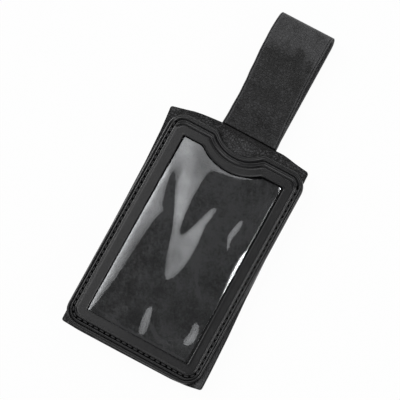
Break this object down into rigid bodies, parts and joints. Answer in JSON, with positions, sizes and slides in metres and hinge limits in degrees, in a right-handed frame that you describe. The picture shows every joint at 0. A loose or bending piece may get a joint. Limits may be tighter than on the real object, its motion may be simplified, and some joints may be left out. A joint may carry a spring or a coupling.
{
  "type": "id holder",
  "caption": "Black leather card pouch with a moulded frame round a clear window, hung from a leather strap that loops over a belt and closes with touch fastener.",
  "frame": {"origin": "under the middle of the whole holder, at the level that it lies on", "axes": "the holder lies on its back: +Z points out of the window, +Y runs up the strap towards the belt, +X is to the right seen from the front"},
  "size_m": [0.0728, 0.171, 0.0129],
  "materials": {
    "black_vinyl": "moulded black vinyl, satin",
    "clear_vinyl": "clear flexible vinyl, glossy and slightly wavy",
    "thread": "black bonded thread",
    "liner_leather": "matt black leather with a soft mottled nap",
    "pouch_leather": "black grained leather",
    "strap_leather": "black grained leather with creased edges",
    "hook_tape": "black hook tape",
    "loop_tape": "black loop tape"
  },
  "bodies": {
    "pouch": {"window_frame": "black_vinyl", "window_film": "clear_vinyl", "frame_thread": "thread", "back_thread": "thread", "pocket_liner": "liner_leather", "back_panel": "pouch_leather", "strap_anchor": "strap_leather", "hook_patch": "hook_tape", "hook_thread": "thread"},
    "strap": {"strap_front": "strap_leather", "strap_fold": "strap_leather"},
    "tail": {"strap_tail": "strap_leather", "loop_patch": "loop_tape", "loop_thread": "thread"}
  },
  "joints": [
    {"name": "strap_flex", "type": "hinge", "parent": "pouch", "child": "strap", "pos_m": [0.0012, 0.03053, 0.0059], "axis": [1, 0, 0], "range_deg": [0, 90]},
    {"name": "tail_peel", "type": "hinge", "parent": "strap", "child": "tail", "pos_m": [0.0012, 0.08453, 0.005], "axis": [1, 0, 0], "range_deg": [0, 150], "deforming": ["strap_fold"]}
  ]
}
